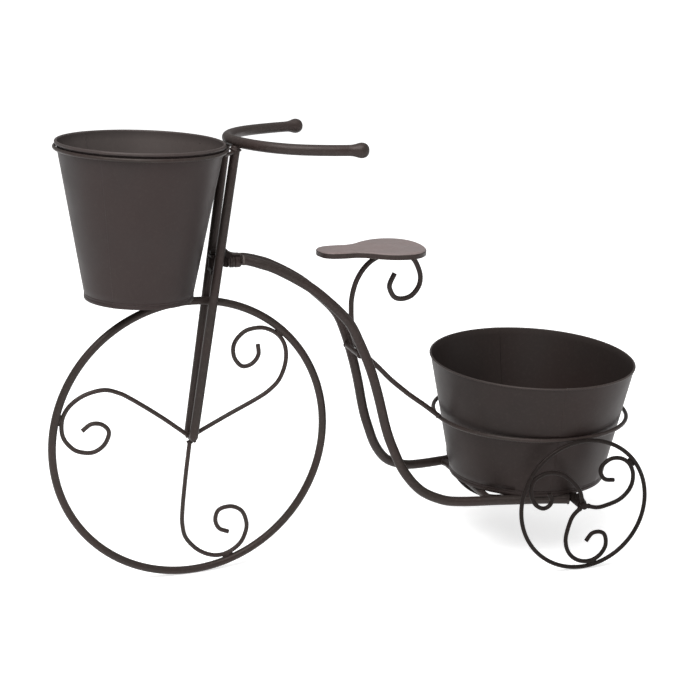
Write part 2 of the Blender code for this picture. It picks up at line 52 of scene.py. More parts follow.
touching = 0.0003          # the metalwork keeps this gap between pieces that touch
hubToMiddle = 0.188835     # some sizes are counted from the front hub, and the origin is this far behind it
print("frame loaded:", len(frame["nodes"]), "nodes")


def unit(vector):
    vector = np.asarray(vector, float)
    return vector / np.linalg.norm(vector, axis=-1, keepdims=True)


def middleOf(node):
    low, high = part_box(node)
    return (np.array(low) + np.array(high)) / 2


# The angles of a full circle
def fullTurn(count):
    return np.linspace(0, 2 * math.pi, count, endpoint=False)


# Two directions that are square to an axis and to each other
def squareTo(axis):
    helper = up if abs(axis[2]) < 0.9 else lengthways
    first = unit(np.cross(axis, helper))
    return first, np.cross(axis, first)


# The cosine or sine of a circle raised to a power below one, which turns the circle into a rounded square
def squared(values, power):
    return np.sign(values) * np.abs(values) ** power


# The upright planes of the turned steering and of the rear axle, and the way that the front pot leans
pivot = np.array(joints["steering_turn"]["pos_m"])
frontAcross = unit(joints["front_wheel_spin"]["axis"])
frontAlong = np.cross(frontAcross, up)
frontHub = middleOf("front_wheel_ring")
rearAcross = unit(joints["rear_axle_spin"]["axis"])
rearAlong = np.cross(rearAcross, up)
rearHub = np.array(joints["rear_axle_spin"]["pos_m"])
lean = unit(joints["front_pot_lift"]["axis"])
leanAlong = np.cross(frontAcross, lean)


# A point given as along, across and height, turned with the steering and measured from below the front hub
def onSteering(points):
    points = np.atleast_2d(points)
    return (frontHub * (1, 1, 0) + points[:, :1] * frontAlong + points[:, 1:2] * frontAcross
            + points[:, 2:] * up)


# A smooth line through the given points: every span is a cubic whose slope at a point is half the
# difference of its two neighbours (Catmull-Rom)
def smoothLine(points, perSpan):
    given = np.asarray(points, float)
    held = np.vstack([2 * given[0] - given[1], given, 2 * given[-1] - given[-2]])
    t = (np.arange(perSpan) / perSpan)[None, :, None]
    before, start, end, after = (held[k:len(held) - 3 + k, None, :] for k in range(4))
    spans = 0.5 * (2 * start + (end - before) * t + (2 * before - 5 * start + 4 * end - after) * t ** 2
                   + (3 * start - before - 3 * end + after) * t ** 3)
    return np.vstack([spans.reshape(-1, given.shape[1]), given[-1]])


# Quads over a grid of rows and columns; either way can close on itself
def gridFaces(rows, columns, closeRows=False):
    r = np.arange(rows if closeRows else rows - 1)[:, None]
    c = np.arange(columns)[None, :]
    nextRow, nextColumn = (r + 1) % rows, (c + 1) % columns
    corners = [r * columns + c, r * columns + nextColumn, nextRow * columns + nextColumn,
               nextRow * columns + c]
    return np.stack(np.broadcast_arrays(*corners), -1).reshape(-1, 4)


# A surface: its points, faces and how much painted highlight lies at each point, a lighter paint that stands
# in for light caught on bead crests, rail ends and pot insides. Faces that point inwards by the sign of the
# enclosed volume are turned round, and open ends get a fan of triangles to their middle.
def surface(grid, closeRows=False, paintedHighlight=None):
    rows, columns = grid.shape[:2]
    points = grid.reshape(-1, 3)
    faces = gridFaces(rows, columns, closeRows)
    highlightAmount = np.zeros(len(points)) if paintedHighlight is None else np.broadcast_to(paintedHighlight, (rows, columns)).reshape(-1)
    fans = []
    if not closeRows:
        points = np.vstack([points, grid[0].mean(0), grid[-1].mean(0)])
        highlightAmount = np.append(highlightAmount, [highlightAmount[:columns].mean(), highlightAmount[-columns:].mean()])
        ring = np.arange(columns)
        after = (ring + 1) % columns
        last = (rows - 1) * columns
        fans = [np.stack([np.full(columns, len(points) - 2), after, ring], -1),
                np.stack([np.full(columns, len(points) - 1), last + ring, last + after], -1)]
    loose = np.vstack([faces[:, [0, 1, 2]], faces[:, [0, 2, 3]], *fans])
    corner = points - points.mean(0)
    volume = np.einsum("ij,ij->i", corner[loose[:, 0]],
                       np.cross(corner[loose[:, 1]], corner[loose[:, 2]])).sum()
    if volume < 0:
        faces, fans = faces[:, ::-1], [fan[:, ::-1] for fan in fans]
    return points, [*faces.tolist(), *(row for fan in fans for row in fan.tolist())], highlightAmount


cutEnd = [(0.0, 1.0), (0.10, 0.95), (0.16, 0.82)]
roundEnd = [(0.0, 1.0), (0.36, 0.93), (0.68, 0.73), (0.90, 0.44), (0.99, 0.14)]


# A round rod: circles square to the path, carried along it. The ends go on past the path by shares of the
# radius, so that a cut end has a small chamfer and a rounded one is a dome.
def rod(path, radius, flat, sides=20, ends=(cutEnd, cutEnd), paintedHighlight=0):
    path = np.asarray(path, float)
    radii = np.broadcast_to(np.asarray(radius, float), len(path))
    along = unit(np.gradient(path, axis=0))
    first, last = np.array(ends[0])[::-1], np.array(ends[1])
    path = np.vstack([path[0] - along[0] * first[:, :1] * radii[0], path[1:-1],
                      path[-1] + along[-1] * last[:, :1] * radii[-1]])
    radii = np.concatenate([first[:, 1] * radii[0], radii[1:-1], last[:, 1] * radii[-1]])
    along = np.vstack([np.repeat(along[:1], len(first), 0), along[1:-1],
                       np.repeat(along[-1:], len(last), 0)])
    side = unit(np.cross(along, flat))
    other = np.cross(along, side)
    turn = fullTurn(sides)[None, :, None]
    circle = np.cos(turn) * side[:, None] + np.sin(turn) * other[:, None]
    return surface(path[:, None] + radii[:, None, None] * circle, paintedHighlight=paintedHighlight)


# A ring of round wire: a small circle whose middle goes round a large one. The wire's radius can vary.
def ringOf(middle, first, second, radius, wire, steps=144, sides=18):
    big, small = fullTurn(steps)[:, None, None], fullTurn(sides)[None, :, None]
    out = np.cos(big) * first + np.sin(big) * second
    grid = middle + (radius + wire * np.cos(small)) * out + wire * np.sin(small) * np.cross(first, second)
    return surface(grid, closeRows=True)


# A turned shape: a profile of (radius, height) swept round an axis. With flats it is cut by that many
# sides at the given distance from the axis, as a nut is, and its corners keep the turned chamfer.
def turnedShape(profile, base, axis, steps=40, flats=0, flatDistance=0):
    radius, height = np.array(profile, float).T
    axis = unit(axis)
    first, second = squareTo(axis)
    turn = fullTurn(steps)
    reach = np.broadcast_to(radius[:, None], (len(radius), steps))
    if flats:
        wedge = math.pi / flats
        limit = flatDistance / np.cos(np.mod(turn, 2 * wedge) - wedge)
        reach = np.minimum(reach, limit[None, :])
    out = np.cos(turn)[:, None] * first + np.sin(turn)[:, None] * second
    return surface(base + reach[..., None] * out[None] + height[:, None, None] * axis)


# The section of a ring or disc round a bore, with its outer edges cut off
def ringSection(bore, radius, start, end, edge):
    return [(bore, start), (radius - edge, start), (radius, start + edge), (radius, end - edge),
            (radius - edge, end), (bore, end)]


# A drop of weld: a ball stretched along one line, with ripples across it. The length and width that are
# given are the halves.
def weldDrop(middle, along, length, width, ripple=0.09, beats=5, phase=0.0):
    along = unit(along)
    first, second = squareTo(along)
    pole = math.pi / 2 - 0.12
    rise = np.linspace(-pole, pole, 15)[:, None, None]
    turn = fullTurn(16)[None, :, None]
    swell = 1 + ripple * np.sin(beats * rise + phase) + ripple * 0.6 * np.sin(3 * turn + phase)
    out = np.cos(turn) * first + np.sin(turn) * second
    return surface(middle + length * np.sin(rise) * along + width * np.cos(rise) * swell * out)


# A collar of weld round the end of a rod: a ring whose wire swells and thins in small beats
def weldCollar(middle, axis, radius, bead, beats=9, phase=0.0):
    big = fullTurn(48)[:, None, None]
    wire = bead * (1 + 0.16 * np.sin(beats * big + phase) + 0.1 * np.sin(2 * big + 2 * phase))
    return ringOf(middle, *squareTo(unit(axis)), radius, wire, 48, 10)


def addObject(name, data):
    made = bpy.data.objects.new(name, data)
    bpy.context.scene.collection.objects.link(made)
    return made


# Puts surfaces into one mesh object, painted, riding on a body, in place of the given nodes
def makePiece(name, surfaces, look, body, slot, nodes=(), sharp=35):
    points, faces, highlightAmount, start = [], [], [], 0
    for spots, quads, paintedHighlight in surfaces:
        points.append(spots)
        highlightAmount.append(paintedHighlight)
        faces += [[start + index for index in face] for face in quads]
        start += len(spots)
    mesh = bpy.data.meshes.new(name)
    mesh.from_pydata(np.vstack(points).tolist(), [], faces)
    highlightOf = mesh.attributes.new("paintedHighlight", "FLOAT", "POINT")
    highlightOf.data.foreach_set("value", np.concatenate(highlightAmount).astype(np.float32))
    mesh.shade_smooth()
    mesh.set_sharp_from_angle(angle=math.radians(sharp))
    mesh.materials.append(look)
    made = addObject(name, mesh)
    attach(made, body)
    if nodes:
        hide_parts(*nodes)


# Sets each named input of a shader node: a socket is linked to it, and a number or colour is its value
def fill(tree, node, inputs):
    for key, given in inputs.items():
        if isinstance(given, bpy.types.NodeSocket):
            tree.links.new(given, node.inputs[key])
        else:
            node.inputs[key].default_value = given


def addNode(tree, kind, inputs, **settings):
    node = tree.nodes.new(kind)
    for key, value in settings.items():
        setattr(node, key, value)
    fill(tree, node, inputs)
    return node


def mapRange(tree, value, fromLow, fromHigh, low, high, **settings):
    inputs = {"Value": value, "From Min": fromLow, "From Max": fromHigh, "To Min": low, "To Max": high}
    return addNode(tree, "ShaderNodeMapRange", inputs, **settings).outputs["Result"]


def mathOf(tree, operation, first, second):
    return addNode(tree, "ShaderNodeMath", {0: first, 1: second}, operation=operation).outputs["Value"]


# Paint: two close browns in soft clouds, a fine speckle, an uneven satin and the small dimples of sprayed
# paint. Where the mesh's highlight attribute is high, a lighter colour is painted in, in patches, as a
# painted highlight.
def makePaint(name, basis, **changes):
    values = {**basis, **changes}
    look = bpy.data.materials.new(name)
    look.use_nodes = True
    tree = look.node_tree
    place = tree.nodes.new("ShaderNodeTexCoord").outputs["Object"]

    def cloud(scale, detail, roughness=0.55):
        return addNode(tree, "ShaderNodeTexNoise", {"Vector": place, "Scale": scale, "Detail": detail,
                                                    "Roughness": roughness}).outputs["Fac"]

    def mix(factor, *colours):
        filled = [(*given, 1) if isinstance(given, tuple) else given for given in colours]
        return addNode(tree, "ShaderNodeMix", {"Factor": factor, "A": filled[0], "B": filled[1]},
                       data_type="RGBA").outputs["Result"]

    clouds = cloud(values["cloudScale"], 3)
    speckle = cloud(values["speckleScale"], 2)
    base = mix(mapRange(tree, clouds, 0.38, 0.62, 0, 1), values["coolBrown"], values["warmBrown"])
    base = mix(mapRange(tree, speckle, 0.52, 0.72, 0, values["speckle"]), base, values["palePaint"])
    highlightAmount = addNode(tree, "ShaderNodeAttribute", {}, attribute_name="paintedHighlight").outputs["Fac"]
    patches = mapRange(tree, cloud(values["speckleScale"] * 0.5, 4), 0.35, 0.6, values["leastHighlight"], 1)
    base = mix(mathOf(tree, "MULTIPLY", highlightAmount, patches), base, values["highlightColour"])
    dimples = addNode(tree, "ShaderNodeBump", {
        "Strength": values["dimpleStrength"], "Distance": values["dimpleDepth"],
        "Height": cloud(values["dimpleScale"], 2, 0.4)})
    fill(tree, tree.nodes["Principled BSDF"], {
        "Base Color": base, "Metallic": 0, "IOR": values["ior"], "Specular Tint": (*values["gloss"], 1),
        "Roughness": mapRange(tree, cloud(values["cloudScale"] * 3, 3), 0.3, 0.7, *values["roughness"]),
        "Normal": dimples.outputs["Normal"]})
    return look


# Frame paint. Its lightest colour is laid on as a painted highlight where the mesh attribute marks bead
# crests, rail ends and pot insides.
framePaintValues = {
    "coolBrown": (0.0255, 0.0205, 0.0180), "warmBrown": (0.0295, 0.0200, 0.0180),
    "palePaint": (0.055, 0.044, 0.039), "highlightColour": (0.16, 0.135, 0.125),
    "cloudScale": 14, "speckleScale": 260, "speckle": 0.35,
    "roughness": (0.38, 0.50), "ior": 1.34, "gloss": (1.0, 0.88, 0.86), "dimpleScale": 620,
    "dimpleStrength": 0.22, "dimpleDepth": 0.0003, "leastHighlight": 0.35,
}
potPaintValues = {**framePaintValues, "cloudScale": 7, "speckle": 0.10, "roughness": (0.44, 0.54),
                  "dimpleScale": 480, "dimpleStrength": 0.12, "leastHighlight": 0.94,
                  "coolBrown": (0.0255, 0.0215, 0.0212), "warmBrown": (0.0275, 0.0195, 0.0188)}
framePaint = makePaint("framePaint", framePaintValues)
# A darker, rougher copy of the frame paint: painted shade on the small parts that sit in shade between
# others, the steering bridges, pivot bolt and nut, eye, web, washer and axle sleeves.
shadedFramePaint = makePaint("shadedFramePaint", framePaintValues, speckle=0.2, roughness=(0.55, 0.65), ior=1.2,
                        coolBrown=(0.0130, 0.0105, 0.0095), warmBrown=(0.0150, 0.0105, 0.0095))
wheelPaint = makePaint("wheelPaint", framePaintValues, cloudScale=17,
                       coolBrown=(0.0255, 0.0205, 0.0175), warmBrown=(0.0300, 0.0205, 0.0180))
# A darker copy of the wheel paint: painted shade on the rear wheels, which stand under the rear pot.
rearWheelPaint = makePaint("rearWheelPaint", framePaintValues, cloudScale=17, ior=1.22,
                           palePaint=(0.032, 0.026, 0.023),
                           coolBrown=(0.0110, 0.0088, 0.0078), warmBrown=(0.0130, 0.0090, 0.0080))
frontPotPaint = makePaint("frontPotPaint", potPaintValues)
rearPotPaint = makePaint("rearPotPaint", potPaintValues, ior=1.31,
                         coolBrown=(0.0165, 0.0125, 0.0115), warmBrown=(0.0185, 0.0118, 0.0105))
saddlePaint = makePaint("saddlePaint", framePaintValues, cloudScale=22, speckle=0.2, roughness=(0.40, 0.50),
                        coolBrown=(0.1900, 0.1570, 0.1530), warmBrown=(0.2060, 0.1620, 0.1560))
boltPaint = makePaint("boltPaint", framePaintValues, palePaint=(0.07, 0.060, 0.054), speckle=0.4,
                      coolBrown=(0.0200, 0.0160, 0.0140), warmBrown=(0.0230, 0.0160, 0.0140),
                      roughness=(0.36, 0.46))
# The paint, body and slot that most pieces share
frameLook = framePaint, "frame", "frame_paint"
shadedFrameLook = shadedFramePaint, "frame", "frame_paint"
steeringLook = framePaint, "steering", "frame_paint"
frontWheelLook = wheelPaint, "front_wheel", "wheel_paint"
rearWheelShadedLook = rearWheelPaint, "rear_wheelset", "wheel_paint"
pivotBoltLook = shadedFramePaint, "steering", "bolt_steel"
axlePinLook = boltPaint, "steering", "bolt_steel"
print("paints mixed")


# Scrolls: points given as a share of the reach to the ring and an angle from the root of the spoke. Each
# front scroll also has its own start, its shift and the part of the shift that is left at the ring.
frontWheelSizes = {
    "tube": 0.0045, "jointAngle": -58, "hubRadius": 0.007, "hubShown": 0.0036, "rod": 0.0025,
    "weldGap": 0.0005, "firstAngle": 24.2, "starts": ((0, 0.0026), (-0.0008, 0.0012), (-0.0018, 0)),
    "shifts": [((-0.0008, 0.0031), 0.3), ((0.0008, 0.0028), 1.0), ((-0.0029, 0.0), 1.0)],
    "scroll": [(0.30, 0.0), (0.56, 0.0), (0.68, 0.9), (0.79, 3.6), (0.90, 9.8), (0.975, 16.5), (1.0, 23.0),
               (0.975, 30.2), (0.90, 35.9), (0.82, 38.5), (0.74, 38.9), (0.665, 34.9), (0.64, 27.0),
               (0.70, 22.6), (0.78, 23.0), (0.84, 27.0)],
}
rearWheelSizes = {
    "tube": 0.0025, "axle": 0.004, "rod": 0.0025, "weldGap": 0.0005, "firstAngle": 2.0,
    "nearShift": np.array([0.0006, 0.0, 0.0009]),
    "scroll": [(0.25, -16.0), (0.42, -6.8), (0.63, 1.5), (0.79, 10.0), (0.90, 18.5), (0.975, 28.5),
               (1.0, 39.0), (0.96, 49.0), (0.86, 58.0), (0.70, 63.5), (0.59, 60.0), (0.545, 47.0),
               (0.64, 35.0)],
    "tightScroll": [(0.25, -16.0), (0.42, -6.8), (0.63, 1.5), (0.79, 9.5), (0.90, 17.0), (0.98, 25.0),
                    (1.0, 31.0), (0.97, 38.5), (0.91, 46.0), (0.82, 53.0), (0.70, 57.5), (0.60, 54.5),
                    (0.565, 45.0), (0.65, 35.5)],
}


# The line of a scroll: the radius is a share of the reach, and the angle counts from the root of the spoke.
# Each rod was bent and set by hand, so it is moved in the wheel's plane: by start at the hub, by shift along
# its way, and by the part atRing of that shift where it meets the ring.
def scrollPath(hub, along, inner, reach, shares, firstAngle, count, start=(0, 0), shift=(0, 0), atRing=1):
    share, angle = np.array(shares).T
    radii = np.concatenate([[inner], share * reach])
    turn = np.radians(firstAngle + 120 * count + np.concatenate([[angle[0]], angle]))
    leaving = np.interp(radii / reach, [0.05, 0.3], [0, 1])
    held = leaving * np.interp(radii / reach, [0.85, 0.98], [1, atRing])
    away = radii * np.cos(turn) + held * shift[0] + (1 - leaving) * start[0]
    height = radii * np.sin(turn) + held * shift[1] + (1 - leaving) * start[1]
    return smoothLine(hub + away[:, None] * along + height[:, None] * up, 8)


# The drop of weld between a scroll and the ring, where the scroll is furthest from the hub
def ringWeld(path, hub, rodRadius, phase):
    furthest = int(np.argmax(np.linalg.norm(path - hub, axis=1)))
    outward = unit(path[furthest] - hub)
    along = path[furthest + 1] - path[furthest - 1]
    return weldDrop(path[furthest] + outward * rodRadius * 1.1, along, rodRadius * 2.6, rodRadius * 0.85,
                    phase=phase)


def buildFrontWheel():
    size = frontWheelSizes
    low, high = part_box("front_wheel_ring")
    outer = (high[2] - low[2]) / 2
    radius = outer - size["tube"]
    ring = ringOf(frontHub, frontAlong, up, radius, size["tube"], 192, 22)
    angle = math.radians(size["jointAngle"])
    joint = frontHub + radius * (math.cos(angle) * frontAlong + math.sin(angle) * up)
    jointWeld = weldCollar(joint, unit(np.cross(joint - frontHub, frontAcross)), size["tube"] * 0.94,
                           size["tube"] * 0.10)
    makePiece("frontWheelRing", [ring, jointWeld], *frontWheelLook, ["front_wheel_ring"])
    low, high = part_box("front_wheel_hub")
    half = (high[1] - low[1]) / 2 / abs(frontAcross[1]) - size["hubRadius"] * abs(frontAcross[0])
    shown = size["hubShown"]
    edge = shown * 0.12
    outline = [(shown - edge, -half), (shown, -half + edge), (shown, half - edge), (shown - edge, half)]
    makePiece("frontWheelHub", [turnedShape(outline, frontHub, frontAcross, 48)], *frontWheelLook,
              ["front_wheel_hub"])
    reach = radius - size["tube"] - size["rod"] - size["weldGap"]
    welds = []
    for count in range(3):
        path = scrollPath(frontHub, frontAlong, shown - touching, reach, size["scroll"], size["firstAngle"],
                          count, size["starts"][count], *size["shifts"][count])
        makePiece(f"frontScroll{count + 1}", [rod(path, size["rod"], frontAcross)], *frontWheelLook,
                  [f"front_wheel_scroll_{count + 1}"])
        welds.append(ringWeld(path, frontHub, size["rod"], count))
        welds.append(weldCollar(path[0] + unit(path[1] - path[0]) * size["rod"] * 0.5, path[1] - path[0],
                                size["rod"] * 1.05, size["rod"] * 0.42, phase=count))
    makePiece("frontWheelWelds", welds, *frontWheelLook)


def buildRearWheels():
    size = rearWheelSizes
    axleLow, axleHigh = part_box("rear_axle")
    half = (axleHigh[1] - axleLow[1]) / 2 / rearAcross[1]
    ends = [rearHub - half * rearAcross, rearHub + half * rearAcross]
    makePiece("rearAxle", [rod(np.linspace(*ends, 9), size["axle"], up, 28)], *rearWheelShadedLook, ["rear_axle"])
    welds = []
    for side, sign in bothSides:
        hub = middleOf(f"rear_wheel_{side}_ring")
        low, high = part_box(f"rear_wheel_{side}_ring")
        radius = (high[2] - low[2]) / 2 - size["tube"]
        moved = size["nearShift"] * (side == "near")
        makePiece(f"{side}WheelRing", [ringOf(hub + moved, rearAlong, up, radius, size["tube"])],
                  *rearWheelShadedLook, [f"rear_wheel_{side}_ring"])
        reach = radius - size["tube"] - size["rod"] - size["weldGap"]
        for count in range(3):
            shares = size["tightScroll" if count == 1 else "scroll"]
            path = scrollPath(hub, rearAlong, size["axle"] - touching, reach, shares, size["firstAngle"],
                              count, shift=moved[[0, 2]] * (count == 2))
            makePiece(f"{side}WheelScroll{count + 1}", [rod(path, size["rod"], rearAcross)], *rearWheelShadedLook,
                      [f"rear_wheel_{side}_scroll_{count + 1}"])
            welds.append(ringWeld(path, hub, size["rod"], count + sign))
            welds.append(weldDrop(path[0] + unit(path[2] - path[0]) * size["rod"], path[2] - path[0],
                                  size["rod"] * 1.9, size["rod"] * 1.15, phase=count))
    makePiece("rearWheelWelds", welds, *rearWheelShadedLook)


buildFrontWheel()
buildRearWheels()
print("wheels built")


# Fork, handlebar and steering, with places measured along, across and up from below the front hub
forkSizes = {"leg": 0.0052, "halfAtHub": 0.0090, "halfAtBar": 0.0171, "rake": 8.25, "setBack": 0.0011,
             "foot": -0.0042, "intoBar": 0.45}
pinchedEnd = [(0.0, 1.0), (0.35, 0.90), (0.70, 0.66), (0.95, 0.40), (1.05, 0.20)]
barSizes = {
    "height": 0.4998, "front": 0.0467, "length": 0.100, "halfWidth": 0.0945, "tube": 0.006, "ball": 0.0084,
    "rise": 0.0022,
    "half": [(0.0, 0.0), (0.037, 0.225), (0.155, 0.476), (0.335, 0.69), (0.54, 0.836), (0.81, 0.948),
             (1.0, 1.0)],
}
# The knob on each end of the bar: shares of the ball's radius, outwards and along
knobShares = [(0.715, -0.10), (0.72, 0.25), (0.76, 0.62), (0.85, 1.00), (0.96, 1.36), (1.0, 1.66),
              (0.98, 1.92), (0.90, 2.18), (0.76, 2.40), (0.55, 2.56), (0.30, 2.65), (0.08, 2.68)]


# The middle of a fork leg at a height: it leans back by the rake, and the legs spread evenly upwards
def legMiddle(height, side):
    size = forkSizes
    hubHeight = frontHub[2]
    share = (height - hubHeight) / (barSizes["height"] - hubHeight)
    half = size["halfAtHub"] + (size["halfAtBar"] - size["halfAtHub"]) * share
    along = (height - hubHeight) * math.tan(math.radians(size["rake"])) - size["setBack"]
    return np.array([along, side * half, height])


def buildFork():
    size = forkSizes
    foot = frontHub[2] - size["foot"] * math.cos(math.radians(size["rake"]))
    welds = []
    for name, side in bothSides:
        top = barSizes["height"] - barSizes["tube"] * size["intoBar"]
        ends = onSteering([legMiddle(foot, side), legMiddle(top, side)])
        path = ends[0] + np.linspace(0, 1, 40)[:, None] * (ends[1] - ends[0])
        leg = rod(path, size["leg"], frontAcross, 28, (pinchedEnd, cutEnd))
        makePiece(f"{name}ForkLeg", [leg], *steeringLook, [f"fork_leg_{name}"])
        under = onSteering(legMiddle(barSizes["height"] - barSizes["tube"] * 1.02, side))[0]
        welds.append(weldCollar(under, path[-1] - path[0], size["leg"] * 1.02, size["leg"] * 0.24,
                                phase=side))
    return welds


# The bar is one half of its bow, mirrored; it rises towards the front by the cube of the share to go
def buildHandlebar():
    size = barSizes
    share = np.array(size["half"])
    half = np.column_stack([size["front"] + share[:, 0] * size["length"], -share[:, 1] * size["halfWidth"],
                            size["height"] + size["rise"] * (1 - share[:, 0]) ** 3])
    whole = np.vstack([half[::-1], half[1:] * (1, -1, 1)])
    path = onSteering(smoothLine(whole, 9))
    makePiece("handlebar", [rod(path, size["tube"], up, 28)], *steeringLook, ["handlebar"])
    profile = np.array(knobShares) * size["ball"]
    for end, before, name in ((path[0], path[1], "near"), (path[-1], path[-2], "far")):
        makePiece(f"{name}Knob", [turnedShape(profile, end, end - before)], *steeringLook,
                  [f"handlebar_ball_{name}"])


# A six-sided nut: a turned profile, chamfered at the corners, cut by six flats
def nutShape(base, axis, width, thickness, bore):
    corner = width / math.sqrt(3)
    face = width / 2
    profile = [(bore, 0.0), (face * 0.98, 0.0), (corner, thickness * 0.14), (corner, thickness * 0.86),
               (face * 0.98, thickness), (bore, thickness)]
    return turnedShape(profile, base, axis, 96, 6, face)


steeringSizes = {
    "boltWidth": 0.009, "bolt": 0.003, "headThickness": 0.004, "shankInHead": 0.001,
    "boltDome": [(0.0048, -0.0002), (0.0040, 0.0004), (0.0022, 0.0007), (0.0003, 0.0008)],
    "bridgeAlong": 0.0115, "bridgeExtra": 0.0001, "bridgeSquare": 0.22, "eye": 0.0068, "eyeHeight": 0.012,
    "eyeEdge": 0.0009, "eyeGap": 0.0004, "stud": 0.004, "washer": 0.0066, "washerEdge": 0.0004,
    "nut": 0.0070, "boss": 0.0072, "neck": 0.0062, "axleHead": 0.0032, "axleHeadThickness": 0.0022,
    "axlePin": 0.0020, "pinInHub": 0.0012, "pinGap": 0.0004,
    "tongueHalf": 0.005, "webHalf": 0.0040, "webFoot": 0.0040, "tongueThickness": 0.0016,
    "tongue": [(0.0122, 0.0155), (0.0150, 0.0125), (0.0185, 0.0100), (0.0230, 0.0085), (0.0285, 0.0080)],
}


# The two bridges have the outline of a rounded square; then the bolt with its nut, and the front axle
def buildSteering():
    size = steeringSizes
    for name, node in (("upperBridge", "fork_bridge_upper"), ("lowerBridge", "fork_bridge_lower")):
        low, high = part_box(node)
        thickness = high[2] - low[2]
        middle = middleOf(node)
        halfAcross = (high[1] - low[1]) / 2 / frontAcross[1] + size["bridgeExtra"]
        turn = fullTurn(64)
        square = squared(np.column_stack([np.cos(turn), np.sin(turn)]), size["bridgeSquare"])
        outline = (square[:, :1] * size["bridgeAlong"] / 2 * frontAlong
                   + square[:, 1:] * halfAcross * frontAcross)
        levels = [(-0.5, 0.90), (-0.5, 0.97), (-0.36, 1.0), (0.36, 1.0), (0.5, 0.97), (0.5, 0.90)]
        grid = np.array([middle + shrink * outline + level * thickness * up for level, shrink in levels])
        makePiece(name, [surface(grid)], shadedFramePaint, "steering", "frame_paint", [node])
    headLow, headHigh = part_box("pivot_bolt")
    head = size["headThickness"]
    top = pivot * (1, 1, 0) + (headHigh[2] - head) * up
    shank = [(size["bolt"], 0.0), (size["bolt"], headHigh[2] - head - headLow[2] + size["shankInHead"])]
    dome = [(radius, head + rise) for radius, rise in size["boltDome"]]
    shankFoot = pivot * (1, 1, 0) + headLow[2] * up
    makePiece("pivotBolt", [nutShape(top, up, size["boltWidth"], head, 0.001), turnedShape(dome, top, up),
                            turnedShape(shank, shankFoot, up, 28)], *pivotBoltLook, ["pivot_bolt"])
    low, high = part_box("pivot_nut")
    nut = nutShape(pivot * (1, 1, 0) + low[2] * up, up, size["boltWidth"], high[2] - low[2], size["bolt"])
    makePiece("pivotNut", [nut], *pivotBoltLook, ["pivot_nut"])
    reach = size["axleHeadThickness"]
    far = middleOf("front_axle_cap")
    inLeg = forkSizes["halfAtHub"] + forkSizes["leg"] * 0.5
    dome = [(0.0010, 0.0), (size["axleHead"], 0.0), (size["axleHead"] * 0.97, reach * 0.35),
            (size["axleHead"] * 0.80, reach * 0.72), (size["axleHead"] * 0.45, reach * 0.95),
            (0.0002, reach)]
    pin, thin = size["axlePin"], size["pinInHub"]
    inHub = forkSizes["halfAtHub"] - forkSizes["leg"] - size["pinGap"]
    outline = [(0.0002, -inLeg), (pin, -inLeg), (pin, -inHub), (thin, -inHub), (thin, inHub), (pin, inHub),
               (pin, inLeg), (0.0002, inLeg)]
    makePiece("frontAxle", [turnedShape(outline, frontHub, frontAcross)], *axlePinLook, ["front_axle"])
    makePiece("frontAxleCap", [turnedShape(dome, far - reach / 2 * frontAcross, frontAcross)], *axlePinLook,
              ["front_axle_cap"])


# A strip bent along a line in the upright plane y = 0. Its section is a rectangle with rounded corners, from
# the power 0.3 of the cosine and sine, and with a foot its underside drops straight to that height.
def bentStrip(line, halfWidth, thickness, foot=None):
    path = smoothLine(np.array([pivot + (x, 0, z) for x, z in line]), 6)
    turn = fullTurn(40)
    wide = squared(np.cos(turn), 0.3) * halfWidth
    thin = squared(np.sin(turn), 0.3) * thickness / 2
    grid = path[:, None] + wide[None, :, None] * sideways + thin[None, :, None] * up
    if foot is not None:
        grid[:, thin < 0, 2] = pivot[2] + foot
    return surface(grid)


def onStud(place):
    return np.array([place, 0, pivot[2]])


